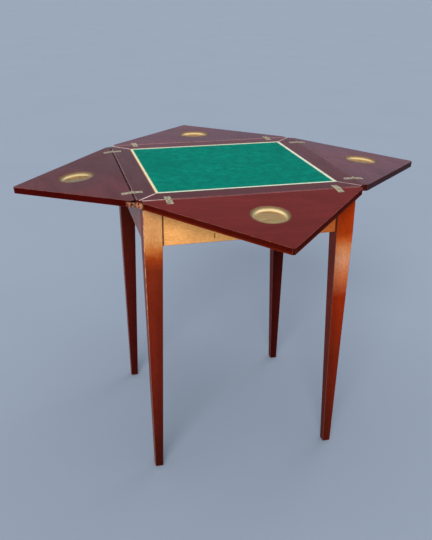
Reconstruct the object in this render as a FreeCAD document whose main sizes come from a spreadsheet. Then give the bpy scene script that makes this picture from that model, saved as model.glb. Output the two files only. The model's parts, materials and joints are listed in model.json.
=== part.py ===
import FreeCAD, Part
import Sketcher
import os
import re

# An envelope games table: a square top with four hinged triangular flaps on a tapered-leg frame.
# Lengths are in millimetres, +Z is up, -Y is the front, and the origin is on the floor under the middle.

doc = FreeCAD.newDocument("EnvelopeGamesTable")

SIDES = ("front", "right", "back", "left")
CORNERS = ("front_left", "front_right", "back_right", "back_left")
QUARTER_TURN = 90
HALF_TURN = 180
OUTWARD_DIAGONAL = "225"
LYING = "90"
UPRIGHT = "90"
KNUCKLE_SIDES = 12
NUT_SIDES = 6

SIZES = [
    # the whole table
    ("table_height", 763),
    ("top_width", 560),
    ("board_thickness", 20),
    ("flap_thickness", 16),
    ("corner_cut", 13),
    # the top's border, panel, cloth and band
    ("border_width", 51.4),
    ("tongue_length", 5),
    ("tongue_thickness", 6),
    ("cloth_thickness", 1.2),
    ("band_width", 8),
    # how far each open flap hangs below level, in degrees
    ("sag_front", 7.0),
    ("sag_right", 4.8),
    ("sag_back", 1.1),
    ("sag_left", 5.8),
    # the flaps' edges
    ("stop_clearance", 0.1),
    ("flap_side_clearance", 0.5),
    ("apex_cut", 7),
    # the counter wells
    ("well_offset", 116),
    ("well_radius", 46),
    ("well_rim_width", 3),
    ("well_depth", 8),
    ("well_wall", 1),
    ("well_slope", 6.5),
    # the hinges
    ("hinge_inset", 73),
    ("hinge_width", 15),
    ("middle_knuckle", 5.4),
    ("leaf_length", 25),
    ("leaf_thickness", 1.2),
    ("knuckle_radius", 1.8),
    ("hinge_pin_radius", 0.9),
    ("knuckle_gap", 0.3),
    # the frame
    ("frame_overhang", 15),
    ("slip_thickness", 5),
    ("slip_length", 150),
    ("slip_width", 14),
    ("leg_width", 45),
    ("foot_width", 21),
    ("taper_drop", 2),
    ("apron_height", 95),
    ("apron_thickness", 20),
    ("apron_setback", 3),
    ("tenon_length", 24),
    ("tenon_thickness", 8),
    ("tenon_shoulder", 12),
    ("brace_thickness", 22),
    ("brace_height", 54),
    ("brace_drop", 22),
    ("sweep_clearance", 0.5),
    # the pivot on which the top turns
    ("swivel_angle", 45),
    ("rail_width", 64),
    ("rail_thickness", 28),
    ("rail_tenon_width", 44),
    ("rail_tenon_thickness", 14),
    ("rail_tenon_length", 10),
    ("rail_clearance", 2),
    ("plate_width", 90),
    ("plate_thickness", 4),
    ("stud_radius", 6),
    ("stud_end", 3),
    ("washer_width", 40),
    ("washer_thickness", 2),
    ("nut_radius", 10.5),
    ("nut_height", 9),
    ("peg_radius", 5),
    ("peg_socket", 4),
    ("peg_drop", 18),
    # clearances
    ("seat_clearance", 0.05),
    ("running_clearance", 0.05),
    ("joint_clearance", 0.3),
    ("cut_overrun", 2),
]

# Places worked out from the sizes above.
PLACES = [
    ("half_top", "top_width / 2"),
    ("half_side", "half_top - corner_cut"),
    ("mitre_end", "half_top - corner_cut / 2"),
    ("panel_half", "half_top - border_width"),
    ("band_inner", "panel_half - band_width"),
    ("board_bottom", "table_height - board_thickness"),
    ("panel_top", "table_height - cloth_thickness"),
    ("groove_bottom", "board_bottom + (board_thickness - tongue_thickness) / 2"),
    ("frame_top", "board_bottom - slip_thickness"),
    ("pin_rise", "knuckle_radius - leaf_thickness"),
    ("pin_height", "table_height + pin_rise"),
    ("hinge_offset", "half_top - hinge_inset"),
    ("notch_reach", "knuckle_radius + knuckle_gap"),
    ("notch_depth", "leaf_thickness + knuckle_gap"),
    ("pin_bore_corner", f"(hinge_pin_radius + running_clearance) / cos({HALF_TURN} / {KNUCKLE_SIDES})"),
    ("flap_reach", "half_top - flap_side_clearance * sqrt(2) - apex_cut / 2"),
    ("flap_side_start", "corner_cut - flap_side_clearance * sqrt(2)"),
    ("flap_bottom", "-(pin_rise + flap_thickness)"),
    ("well_floor", "well_depth + well_wall"),
    ("leg_outer", "half_top - frame_overhang"),
    ("leg_inner", "leg_outer - leg_width"),
    ("leg_middle", "leg_outer - leg_width / 2"),
    ("apron_outer", "leg_outer - apron_setback"),
    ("apron_inner", "apron_outer - apron_thickness"),
    ("apron_middle", "apron_outer - apron_thickness / 2"),
    ("apron_bottom", "frame_top - apron_height"),
    ("taper_top", "apron_bottom - taper_drop"),
    ("tenon_end", "leg_inner + tenon_length"),
    ("tenon_bottom", "apron_bottom + tenon_shoulder"),
    ("tenon_height", "apron_height - 2 * tenon_shoulder"),
    ("steepest_sag", "max(sag_front; sag_right; sag_back; sag_left)"),
    ("flap_underside_drop", "(flap_thickness + pin_rise) / cos(steepest_sag) - pin_rise"),
    ("bevel_headroom", "board_thickness + slip_thickness - flap_underside_drop - sweep_clearance"),
    ("bevel_start", "half_top + bevel_headroom / tan(steepest_sag)"),
    ("brace_outer_sum", "2 * leg_inner"),
    ("brace_inner_sum", "brace_outer_sum - brace_thickness * sqrt(2)"),
    ("brace_bottom", "frame_top - brace_drop - brace_height"),
    ("plate_bottom", "board_bottom - plate_thickness"),
    ("rail_top", "plate_bottom - rail_clearance"),
    ("rail_bottom", "rail_top - rail_thickness"),
    ("rail_tenon_bottom", "rail_bottom + (rail_thickness - rail_tenon_thickness) / 2"),
    ("nut_top", "rail_bottom - washer_thickness"),
    ("stud_bottom", "nut_top - nut_height - stud_end"),
    ("peg_out", "apron_inner - peg_radius - joint_clearance"),
    ("peg_across", "peg_out * tan(swivel_angle / 2)"),
]

# Each flap's joint has a gap, in which the flap's lower edge meets the top's edge when it hangs at its sag.
for side in SIDES:
    edge_swing = f"(flap_thickness + pin_rise) * sin(sag_{side})"
    PLACES.append((f"joint_gap_{side}", f"2 * ({edge_swing} + stop_clearance) / (1 + cos(sag_{side}))"))
    PLACES.append((f"pin_out_{side}", f"half_top + joint_gap_{side} / 2"))

sizes_sheet = doc.addObject("Spreadsheet::Sheet", "Sizes")
places_sheet = doc.addObject("Spreadsheet::Sheet", "Places")
owner = {}


def qualified(formula):
    """Name the sheet of each cell that a formula uses."""
    return re.sub(r"[a-z][a-z_]*", lambda word: owner.get(word.group(), "") + word.group(), str(formula))


def fill(sheet, rows, cell_text):
    """Write each row's name and content, and give the cell its alias."""
    for number, (name, content) in enumerate(rows, start=1):
        sheet.set(f"A{number}", name)
        sheet.set(f"B{number}", cell_text(content))
        sheet.setAlias(f"B{number}", name)
        owner[name] = sheet.Name + "."


fill(sizes_sheet, SIZES, str)
fill(places_sheet, PLACES, lambda formula: "=" + qualified(formula))
doc.recompute()


def value(name):
    """The number in a named cell."""
    sheet = sizes_sheet if owner[name] == "Sizes." else places_sheet
    return float(sheet.get(name))


def bind(feature, prop, formula):
    """Tie one property of a feature to the sheets."""
    feature.setExpression(prop, qualified(formula))


def bind_place(feature, base, yaw="0", pitch="0", roll="0"):
    """Tie a feature's whole placement to the sheets."""
    vector = "; ".join(qualified(part) for part in base)
    turn = f"rotation({yaw}; {qualified(pitch)}; {roll})"
    feature.setExpression("Placement", f"placement(vector({vector}); {turn})")


def new_body(label):
    body = doc.addObject("PartDesign::Body", label)
    body.Label = label
    return body


def turn_about_middle(body, quarter):
    """Carry a piece from its place at the front to another side or corner."""
    upright = FreeCAD.Vector(0, 0, 1)
    body.Placement = FreeCAD.Placement(FreeCAD.Vector(), FreeCAD.Rotation(upright, quarter * QUARTER_TURN))


def add_box(body, low, high, cut=False, label="Block"):
    """A box between two corners, joined to the body or cut from it."""
    kind = "SubtractiveBox" if cut else "AdditiveBox"
    box = body.newObject(f"PartDesign::{kind}", label)
    for axis, prop, start, end in zip("xyz", ("Length", "Width", "Height"), low, high):
        bind(box, f"Placement.Base.{axis}", start)
        bind(box, prop, f"({end}) - ({start})")
    return box


def add_drum(body, base, radius, height, cut=False, pitch="0", label="Drum"):
    """A cylinder from its base along its own axis, which the pitch turns from upright."""
    kind = "SubtractiveCylinder" if cut else "AdditiveCylinder"
    drum = body.newObject(f"PartDesign::{kind}", label)
    bind(drum, "Radius", radius)
    bind(drum, "Height", height)
    bind_place(drum, base, pitch=pitch)
    return drum


def cut_cone(body, base, low_radius, high_radius, height):
    cone = body.newObject("PartDesign::SubtractiveCone", "Hollow")
    bind(cone, "Radius1", low_radius)
    bind(cone, "Radius2", high_radius)
    bind(cone, "Height", height)
    bind_place(cone, base)
    return cone


def add_lying_prism(body, start, corner_radius, length, cut=False, label="Prism"):
    """A many-sided bar along X about the body's own axis, which stands for a small round one."""
    kind = "SubtractivePrism" if cut else "AdditivePrism"
    prism = body.newObject(f"PartDesign::{kind}", label)
    prism.Polygon = KNUCKLE_SIDES
    bind(prism, "Circumradius", corner_radius)
    bind(prism, "Height", length)
    bind_place(prism, (start, "0", "0"), pitch=LYING)
    return prism


def measure(formula):
    """The number that a formula of cell names gives."""
    result = places_sheet.evalExpression(qualified(formula))
    return float(getattr(result, "Value", result))


def outline(body, corners, height):
    """A closed level outline, each corner held at its worked-out place."""
    sketch = body.newObject("Sketcher::SketchObject", "Outline")
    level_plane = [item for item in body.Origin.OriginFeatures if item.Role == "XY_Plane"][0]
    sketch.AttachmentSupport = [(level_plane, "")]
    sketch.MapMode = "FlatFace"
    bind(sketch, "AttachmentOffset.Base.z", height)
    places = [tuple(measure(formula) for formula in corner) for corner in corners]
    for start, end in zip(places, places[1:] + places[:1]):
        sketch.addGeometry(Part.LineSegment(FreeCAD.Vector(*start), FreeCAD.Vector(*end)), False)
    count = len(corners)
    for index in range(count):
        sketch.addConstraint(Sketcher.Constraint("Coincident", index, 2, (index + 1) % count, 1))
    for index, corner in enumerate(corners):
        for axis, formula, number in zip(("DistanceX", "DistanceY"), corner, places[index]):
            held = sketch.addConstraint(Sketcher.Constraint(axis, -1, 1, index, 1, number))
            sketch.setExpression(f"Constraints[{held}]", qualified(formula))
    return sketch


def pad(body, sketch, length):
    feature = body.newObject("PartDesign::Pad", "Pad")
    feature.Profile = sketch
    bind(feature, "Length", length)
    return feature


# The frame: legs, aprons, rail, braces and slips.

def make_leg(corner, quarter):
    """A square leg, tapered on all four faces below the aprons, with two mortises and an eased top."""
    body = new_body(f"leg_{corner}")
    outer, inner = "-leg_outer", "-leg_inner"
    add_box(body, (outer, outer, "taper_top"), (inner, inner, "frame_top"), label="Head")
    # The taper is a wedge stood on its small end, so its own Y runs up the leg.
    taper = body.newObject("PartDesign::AdditiveWedge", "Taper")
    bind(taper, "Ymin", "0")
    bind(taper, "Ymax", "taper_top")
    for axis in "XZ":
        bind(taper, f"{axis}min", "-foot_width / 2")
        bind(taper, f"{axis}max", "foot_width / 2")
        bind(taper, f"{axis}2min", "-leg_width / 2")
        bind(taper, f"{axis}2max", "leg_width / 2")
    bind_place(taper, ("-leg_middle", "-leg_middle", "0"), roll=UPRIGHT)
    mortise_side = ("-(apron_middle + tenon_thickness / 2)", "-(apron_middle - tenon_thickness / 2)")
    mortise_end = ("-(tenon_end + joint_clearance)", "-leg_inner")
    mortise_rise = ("tenon_bottom", "tenon_bottom + tenon_height")
    for across, along in ((mortise_end, mortise_side), (mortise_side, mortise_end)):
        low, high = zip(across, along, mortise_rise)
        add_box(body, low, high, cut=True, label="Mortise")
    # The outer corner of the top slopes as the steepest flap hangs, so that the flap passes over it.
    bevel = body.newObject("PartDesign::SubtractiveBox", "TopBevel")
    bind(bevel, "Length", "leg_width")
    bind(bevel, "Width", "2 * leg_width")
    bind(bevel, "Height", "leg_width")
    bevel_outward = "-(bevel_start + leg_width) / sqrt(2)"
    bevel_across = "-(bevel_start - leg_width) / sqrt(2)"
    bevel_base = (bevel_outward, bevel_across, "frame_top")
    bind_place(bevel, bevel_base, OUTWARD_DIAGONAL, "steepest_sag")
    turn_about_middle(body, quarter)
    return body


def make_apron(side, quarter):
    """A rail of the frame with a tenon at each end; those at front and back house the cross rail."""
    body = new_body(f"apron_{side}")
    low = ("-leg_inner", "-apron_outer", "apron_bottom")
    high = ("leg_inner", "-apron_inner", "frame_top")
    add_box(body, low, high)
    tenon_low = ("-tenon_end", "-(apron_middle + tenon_thickness / 2)", "tenon_bottom")
    tenon_high = ("tenon_end", "-(apron_middle - tenon_thickness / 2)", "tenon_bottom + tenon_height")
    add_box(body, tenon_low, tenon_high, label="Tenons")
    if side in ("front", "back"):
        housing_low = ("-rail_tenon_width / 2", "-(apron_inner + rail_tenon_length + joint_clearance)")
        housing_high = ("rail_tenon_width / 2", "-apron_inner")
        low = housing_low + ("rail_tenon_bottom",)
        high = housing_high + ("rail_tenon_bottom + rail_tenon_thickness",)
        add_box(body, low, high, cut=True, label="Housing")
    turn_about_middle(body, quarter)
    return body


def make_slip(side, quarter):
    """A waxed slip on the apron's top edge, on which the top rides."""
    body = new_body(f"bearing_slip_{side}")
    low = ("-slip_length / 2", "-(apron_middle + slip_width / 2)", "frame_top")
    high = ("slip_length / 2", "-(apron_middle - slip_width / 2)", "board_bottom")
    add_box(body, low, high)
    turn_about_middle(body, quarter)
    return body


def make_brace(corner, quarter):
    """A block across the corner behind the leg, cut to fit both aprons."""
    body = new_body(f"corner_brace_{corner}")
    corners = [
        ("-apron_inner", "-(brace_outer_sum - apron_inner)"),
        ("-(brace_outer_sum - apron_inner)", "-apron_inner"),
        ("-(brace_inner_sum - apron_inner)", "-apron_inner"),
        ("-apron_inner", "-(brace_inner_sum - apron_inner)"),
    ]
    pad(body, outline(body, corners, "brace_bottom"), "brace_height")
    turn_about_middle(body, quarter)
    return body


def make_rail():
    """The cross rail between the front and back aprons, tenoned into them and bored for the stud."""
    body = new_body("pivot_rail")
    low = ("-rail_width / 2", "-apron_inner", "rail_bottom")
    high = ("rail_width / 2", "apron_inner", "rail_top")
    add_box(body, low, high)
    tenon_low = ("-rail_tenon_width / 2", "-(apron_inner + rail_tenon_length)", "rail_tenon_bottom")
    tenon_top = "rail_tenon_bottom + rail_tenon_thickness"
    tenon_high = ("rail_tenon_width / 2", "apron_inner + rail_tenon_length", tenon_top)
    add_box(body, tenon_low, tenon_high, label="Tenons")
    add_drum(body, ("0", "0", "rail_bottom"), "stud_radius + running_clearance", "rail_thickness", cut=True)
    return body


def make_washer():
    """The square washer between the rail and the pivot's nut."""
    body = new_body("pivot_washer")
    low = "-washer_width / 2"
    high = "washer_width / 2"
    add_box(body, (low, low, "nut_top"), (high, high, "rail_bottom"))
    bore = "stud_radius + joint_clearance"
    add_drum(body, ("0", "0", "nut_top"), bore, "washer_thickness", cut=True, label="Bore")
    return body


# The top: border, panel, cloth, band, pivot and stop.

def cut_hinge_beds(body, pin, face, inward):
    """Let both hinges of one side into the wood: leaf beds and knuckle notches.

    The pin's line and the wood's face are given, and whether the wood lies inward of the pin."""
    half_bed = "(hinge_width / 2 + joint_clearance)"
    cuts = [("leaf_length + joint_clearance", "leaf_thickness", "LeafBed"),
            ("notch_reach", "notch_depth", "KnuckleNotch")]
    for middle in ("-hinge_offset", "hinge_offset"):
        for reach, depth, label in cuts:
            near, far = (pin, f"{pin} + {reach}") if inward else (f"{pin} - ({reach})", pin)
            low = (f"{middle} - {half_bed}", near, f"{face} - {depth}")
            high = (f"{middle} + {half_bed}", far, f"{face} + cut_overrun")
            add_box(body, low, high, cut=True, label=label)


def make_border(side, quarter):
    """One mitred member of the top's border, grooved for the panel, its end corners cut off."""
    body = new_body(f"border_{side}")
    corners = [
        ("-panel_half", "-panel_half"),
        ("-mitre_end", "-mitre_end"),
        ("-half_side", "-half_top"),
        ("half_side", "-half_top"),
        ("mitre_end", "-mitre_end"),
        ("panel_half", "-panel_half"),
    ]
    pad(body, outline(body, corners, "board_bottom"), "board_thickness")
    groove_low = ("-half_top", "-(panel_half + tongue_length + joint_clearance)", "groove_bottom")
    groove_high = ("half_top", "-panel_half + cut_overrun", "groove_bottom + tongue_thickness")
    add_box(body, groove_low, groove_high, cut=True, label="Groove")
    cut_hinge_beds(body, f"-pin_out_{side}", "table_height", inward=True)
    if side == "front":
        socket_base = ("peg_across", "-peg_out", "board_bottom")
        socket_radius = "peg_radius + seat_clearance"
        add_drum(body, socket_base, socket_radius, "peg_socket", cut=True, label="PegSocket")
    turn_about_middle(body, quarter)
    return body


def make_panel():
    """The panel under the cloth, with a tongue all round."""
    body = new_body("top_panel")
    low = "-(panel_half - seat_clearance)"
    high = "panel_half - seat_clearance"
    add_box(body, (low, low, "board_bottom"), (high, high, "panel_top"))
    tongue_low = "-(panel_half + tongue_length)"
    tongue_high = "panel_half + tongue_length"
    tongue_top = "groove_bottom + tongue_thickness"
    add_box(body, (tongue_low, tongue_low, "groove_bottom"), (tongue_high, tongue_high, tongue_top))
    return body


def make_cloth():
    body = new_body("playing_cloth")
    low = "-(band_inner - seat_clearance)"
    high = "band_inner - seat_clearance"
    add_box(body, (low, low, "panel_top"), (high, high, "table_height"))
    return body


def make_band():
    """The narrow band laid round the cloth, level with it and with the border."""
    body = new_body("gilt_band")
    low = "-(panel_half - seat_clearance)"
    high = "panel_half - seat_clearance"
    add_box(body, (low, low, "panel_top"), (high, high, "table_height"))
    hole_top = "table_height + cut_overrun"
    hole_low = ("-band_inner", "-band_inner", "panel_top")
    hole_high = ("band_inner", "band_inner", hole_top)
    add_box(body, hole_low, hole_high, cut=True)
    return body


def make_plate():
    """The iron plate screwed under the panel, which holds the pivot's stud."""
    body = new_body("pivot_plate")
    low = "-plate_width / 2"
    high = "plate_width / 2"
    add_box(body, (low, low, "plate_bottom"), (high, high, "board_bottom"))
    add_drum(body, ("0", "0", "plate_bottom"), "stud_radius + seat_clearance", "plate_thickness", cut=True)
    return body


def make_stud():
    body = new_body("pivot_stud")
    add_drum(body, ("0", "0", "stud_bottom"), "stud_radius", "board_bottom - stud_bottom")
    return body


def make_nut():
    """A six-sided nut under the rail."""
    blank = doc.addObject("Part::Prism", "NutBlank")
    blank.Polygon = NUT_SIDES
    bind(blank, "Circumradius", "nut_radius")
    bind(blank, "Height", "nut_height")
    bore = doc.addObject("Part::Cylinder", "NutBore")
    bind(bore, "Radius", "stud_radius + seat_clearance")
    bind(bore, "Height", "nut_height")
    for solid in (blank, bore):
        bind(solid, "Placement.Base.z", "nut_top - nut_height")
    nut = doc.addObject("Part::Cut", "pivot_nut")
    nut.Base = blank
    nut.Tool = bore
    nut.Label = "pivot_nut"
    return nut


def make_peg():
    """The dowel under the top that meets an apron at each end of the turn."""
    body = new_body("stop_peg")
    foot = ("peg_across", "-peg_out", "board_bottom - peg_drop")
    add_drum(body, foot, "peg_radius", "peg_drop + peg_socket")
    return body


# The hinges: each is modelled about its own pin, which runs along X.

def make_leaf(label, middle, inward):
    """One hinge leaf with its knuckles: on the top inward of the pin, or on the flap outward of it.

    The top's leaf holds the pin, which is riveted in its two outer knuckles."""
    body = new_body(label)
    start, end = f"{middle} - hinge_width / 2", f"{middle} + hinge_width / 2"
    near, far = ("0", "leaf_length") if inward else ("-leaf_length", "0")
    add_box(body, (start, near, "-knuckle_radius"), (end, far, "-pin_rise"), label="Plate")
    add_lying_prism(body, start, "knuckle_radius", "hinge_width", label="Knuckles")
    if inward:
        half_slot = "(middle_knuckle / 2 + knuckle_gap)"
        slots = [(f"{middle} - {half_slot}", f"{middle} + {half_slot}")]
    else:
        slots = [(f"{start} - knuckle_gap", f"{middle} - middle_knuckle / 2"),
                 (f"{middle} + middle_knuckle / 2", f"{end} + knuckle_gap")]
    for slot_start, slot_end in slots:
        low = (slot_start, "-notch_reach", "-notch_reach")
        high = (slot_end, "notch_reach", "notch_reach")
        add_box(body, low, high, cut=True, label="KnuckleSlot")
    if inward:
        add_drum(body, (start, "0", "0"), "hinge_pin_radius", "hinge_width", pitch=LYING, label="Pin")
    else:
        add_lying_prism(body, start, "pin_bore_corner", "hinge_width", cut=True, label="PinBore")
    return body


def pair(label, pieces):
    """Two hinge leaves of one side in one node."""
    compound = doc.addObject("Part::Compound", label)
    compound.Links = pieces
    compound.Label = label
    return compound


def side_place(side, quarter, hanging):
    """Where the pin of a side lies: its quarter turn, its distance out and, on a flap, its sag."""
    upright = FreeCAD.Rotation(FreeCAD.Vector(0, 0, 1), quarter * QUARTER_TURN)
    pin = FreeCAD.Vector(0, -value(f"pin_out_{side}"), value("pin_height"))
    angle = value(f"sag_{side}") if hanging else 0
    sag = FreeCAD.Rotation(FreeCAD.Vector(1, 0, 0), angle)
    return FreeCAD.Placement(FreeCAD.Vector(), upright).multiply(FreeCAD.Placement(pin, sag))


# The flaps and their wells, modelled level about the pin's line and then hung at their sag.

def make_flap(side, quarter):
    """A triangular flap with its tips and point cut off, bored for the well and let in for the hinges."""
    body = new_body(f"flap_{side}")
    edge = f"-joint_gap_{side} / 2"
    corners = [
        ("-half_side", edge),
        ("-half_side", f"{edge} - flap_side_start"),
        ("-apex_cut / 2", f"{edge} - flap_reach"),
        ("apex_cut / 2", f"{edge} - flap_reach"),
        ("half_side", f"{edge} - flap_side_start"),
        ("half_side", edge),
    ]
    pad(body, outline(body, corners, "flap_bottom"), "flap_thickness")
    middle = f"-(joint_gap_{side} / 2 + well_offset)"
    pocket_base = ("0", middle, "-(pin_rise + well_floor)")
    pocket_radius = "well_radius + joint_clearance"
    add_drum(body, pocket_base, pocket_radius, "well_floor + cut_overrun", cut=True, label="Pocket")
    cut_hinge_beds(body, "0", "-pin_rise", inward=False)
    body.Placement = side_place(side, quarter, True)
    return body


def make_well(side, quarter):
    """A turned brass dish with a flat rim and a sloping hollow, whose bottom lies on the pocket's floor."""
    body = new_body(f"counter_well_{side}")
    middle = f"-(joint_gap_{side} / 2 + well_offset)"
    mouth = "well_radius - well_rim_width"
    add_drum(body, ("0", middle, "-(pin_rise + well_wall)"), "well_radius", "well_wall", label="Rim")
    bottom = ("0", middle, "-(pin_rise + well_floor)")
    add_drum(body, bottom, f"{mouth} + well_wall", "well_floor", label="Bowl")
    hollow_base = ("0", middle, "-(pin_rise + well_depth)")
    cut_cone(body, hollow_base, f"{mouth} - well_slope", mouth, "well_depth")
    body.Placement = side_place(side, quarter, True)
    return body


nodes = []
for quarter, corner in enumerate(CORNERS):
    nodes.append(make_leg(corner, quarter))
    nodes.append(make_brace(corner, quarter))
for quarter, side in enumerate(SIDES):
    nodes.append(make_apron(side, quarter))
    nodes.append(make_slip(side, quarter))
    nodes.append(make_border(side, quarter))
    nodes.append(make_flap(side, quarter))
    nodes.append(make_well(side, quarter))

nodes.append(make_rail())
nodes.append(make_washer())
nodes.append(make_panel())
nodes.append(make_cloth())
nodes.append(make_band())
nodes.append(make_plate())
nodes.append(make_stud())
nodes.append(make_nut())
nodes.append(make_peg())

for quarter, side in enumerate(SIDES):
    for name, hanging in (("top", False), ("flap", True)):
        first = make_leaf(f"{name}_leaf_{side}_first", "-hinge_offset", inward=not hanging)
        second = make_leaf(f"{name}_leaf_{side}_second", "hinge_offset", inward=not hanging)
        for leaf in (first, second):
            leaf.Placement = side_place(side, quarter, hanging)
        nodes.append(pair(f"hinge_leaves_{name}_{side}", [first, second]))

doc.recompute()
for item in doc.Objects:
    if "Invalid" in item.State or "Error" in item.State:
        raise RuntimeError(f"{item.Label} failed: {item.State}")
for node in nodes:
    if node.Shape.isNull() or not node.Shape.isValid() or not node.Shape.Solids:
        raise RuntimeError(f"{node.Label} has no sound shape")

os.makedirs("parts", exist_ok=True)
for node in nodes:
    node.Shape.exportStep(f"parts/{node.Label}.step")
print(len(nodes), "nodes written")
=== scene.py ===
"""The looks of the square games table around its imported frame: polished mahogany, baize, gilt line,
brass counter wells, hinges and screws, with a plain studio and the photograph's camera."""

import json
import math
from functools import partial, reduce

import bmesh
import bpy
from mathutils import Matrix, Vector, noise


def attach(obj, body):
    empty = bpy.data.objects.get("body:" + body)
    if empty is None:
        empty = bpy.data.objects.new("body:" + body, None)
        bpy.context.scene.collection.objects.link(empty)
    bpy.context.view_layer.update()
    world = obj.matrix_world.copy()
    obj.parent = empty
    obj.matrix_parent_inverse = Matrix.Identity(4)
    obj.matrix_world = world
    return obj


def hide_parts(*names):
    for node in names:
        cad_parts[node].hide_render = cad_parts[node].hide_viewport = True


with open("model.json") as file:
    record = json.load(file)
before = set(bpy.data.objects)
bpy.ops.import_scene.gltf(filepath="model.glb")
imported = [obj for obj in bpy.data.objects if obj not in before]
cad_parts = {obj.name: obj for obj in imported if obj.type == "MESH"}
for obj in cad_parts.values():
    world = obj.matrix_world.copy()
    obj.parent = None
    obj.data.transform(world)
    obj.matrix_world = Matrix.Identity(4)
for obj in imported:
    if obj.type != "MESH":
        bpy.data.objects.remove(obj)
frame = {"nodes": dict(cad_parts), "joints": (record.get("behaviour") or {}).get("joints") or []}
bpy.context.view_layer.update()
NODES = frame["nodes"]
JOINTS = {joint["name"]: joint for joint in frame["joints"]}

SIDES = ("front", "right", "back", "left")
CORNERS = ("front_left", "front_right", "back_right", "back_left")
QUARTER = math.pi / 2

# The hinge lines: their height, how far out each lies, and by how many degrees its flap hangs down
PIN_HEIGHT = 0.7636
PIN_OUT = {side: max(abs(c) for c in JOINTS[f"flap_{side}_fold"]["pos_m"][:2]) for side in SIDES}
SAG = {side: JOINTS[f"flap_{side}_fold"]["range_deg"][1] - 180 for side in SIDES}

# Other sizes in metres, from the part's source
HALF_TOP = 0.28
FACE_DROP = 0.0006
FLAP_DEPTH = 0.016
WELL_OUT = 0.116
HINGE_ALONG = 0.207
HINGE_SCREWS_OUT = (0.008, 0.019)
CLOTH_HALF = 0.2205
CLOTH_TOP = 0.76295
CLOTH_THICKNESS = 0.0011
BAND_INNER = 0.2206
BAND_OUTER = 0.22855
LEG_HEIGHT = 0.738
LEG_INNER = 0.220
TAPER_TOP = 0.641
TAPER_SLOPE = 0.012 / TAPER_TOP
APRON_HALF = 0.244
APRON_JOINT = 0.2176
PLATE_BOTTOM = 0.739
PLATE_SCREWS_OUT = 0.032
BRACE_MIDDLE = 0.689
BRACE_SCREW_OUT = 0.20445

# Where marks of age, painted highlights and shade, the dark rings round the wells and changes of tone lie,
# or start and end, in metres
KNOCK_AT = (-0.0933, 0.6590)
TIP_LEVELS = (0.7590, 0.7545)
LEFT_TIP = (-0.256, -0.263)
DARK_RING_REACH = (0.0486, 0.0468)
MITRE_REACH = (0.0038, 0.0016)
RIM_REACH = (0.2770, 0.2782)
LEFT_RIM_INSET = 0.0008
LEFT_JOINT = (0.2784, 0.2789)
BAND_SIDE = (0.2205, 0.2212)


def linear(red, green, blue):
    """A display colour from 0 to 255 as the linear colour that the shaders take."""
    parts = (c / 255 for c in (red, green, blue))
    return tuple(p / 12.92 if p <= 0.04045 else ((p + 0.055) / 1.055) ** 2.4 for p in parts) + (1.0,)


# Colours of wood and polish, several with painted light or shade in them; the flaps' faces are red in front
# and purple on the other sides, where a reflection of the pale surroundings is painted in
FACE_FRONT = linear(91, 24, 21)
FACE_SIDE = linear(75, 39, 41)
FACE_FAR = linear(82, 41, 49)
# The flaps' edges: tones per side with painted light and shade; the left flap's end near black with painted
# shade in the corner's gap
EDGE_UPPER = linear(67, 11, 5)
EDGE_LEFT = linear(60, 6, 4)
EDGE_LOWER = linear(94, 24, 7)
EDGE_RIGHT = linear(52, 22, 24)
END_GRAIN = linear(48, 14, 9)
LEFT_END = linear(12, 6, 6)
TIP_WOOD = linear(174, 118, 88)
# Dark lines: painted shade in the gaps of joints, and an old knock's colour
DARK_LINE = linear(22, 9, 7)
WELL_RING_DARK = linear(58, 36, 28)
# Pale lines: painted highlights along lit edges and mitres
PINK_LINE = linear(206, 150, 150)
PALE_MITRE = linear(240, 214, 210)
RUBBED_RED = linear(112, 34, 30)
INNER_ARRIS = linear(96, 46, 30)
UNDERSIDE = linear(86, 34, 20)
INNER_WOOD = linear(150, 92, 52)
# The front apron's painted highlight: gold on the left, pale amber in the middle and orange on the right;
# then the other aprons' plain tone
APRON_GOLD = linear(219, 153, 88)
APRON_AMBER = linear(250, 182, 106)
APRON_ORANGE = linear(182, 70, 9)
APRON_PLAIN = linear(150, 64, 26)
# Edge tones: pale partly from rubbing and partly as a painted highlight; the low one is duller with painted
# shade
PINK_ARRIS = linear(196, 140, 118)
GOLD_ARRIS = linear(228, 176, 124)
RED_ARRIS = linear(150, 62, 44)
LOW_ARRIS = linear(122, 48, 30)

# For each side: the flap's face, with its painted reflection, and the strength, width in metres and colour
# of its hinge line, a painted highlight in front and painted shade of the gap elsewhere
FLAP_LOOKS = {
    "front": (FACE_FRONT, 0.30, 0.0026, PINK_LINE),
    "right": (FACE_FAR, 0.35, 0.0010, DARK_LINE),
    "back": (FACE_FAR, 0.4, 0.0020, DARK_LINE),
    "left": (FACE_SIDE, 1.0, 0.0026, DARK_LINE),
}
# For each side: the border's face, with the same painted reflection as its flap, and how pale its rim's
# painted highlight is
BORDER_LOOKS = {
    "front": (linear(76, 19, 15), 0.30),
    "right": (linear(80, 36, 40), 0.12),
    "back": (linear(86, 42, 46), 0.8),
    "left": (FACE_SIDE, 0.32),
}
# For each side: the upper and the lower part of the flap's edge, lighter or darker by how the light falls
# there, as painted light and shade
EDGE_TONES = {
    "front": (EDGE_UPPER, EDGE_LOWER),
    "right": (EDGE_RIGHT, EDGE_RIGHT),
    "back": (EDGE_UPPER, EDGE_UPPER),
    "left": (EDGE_LEFT, EDGE_LEFT),
}

# How the top's polish shines: coats, the roughness of edges, and refraction indices
FLAP_COATS = {"front": 0.095, "right": 0.225, "back": 0.215, "left": 0.16}
BORDER_COAT = 0.165
EDGE_COAT = 0.02
EDGE_ROUGHNESS = 0.62
POLISHED_INDEX = 1.45
FAR_INDEX = 1.32
OILED_INDEX = 1.12

# The upward part of a normal, where an edge turns into a face
FACING = (0.35, 0.75)
FACING_DOWN = (-0.35, -0.75)
# How much of its written colour a leg's front keeps
LEG_SHADE = 0.80


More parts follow.
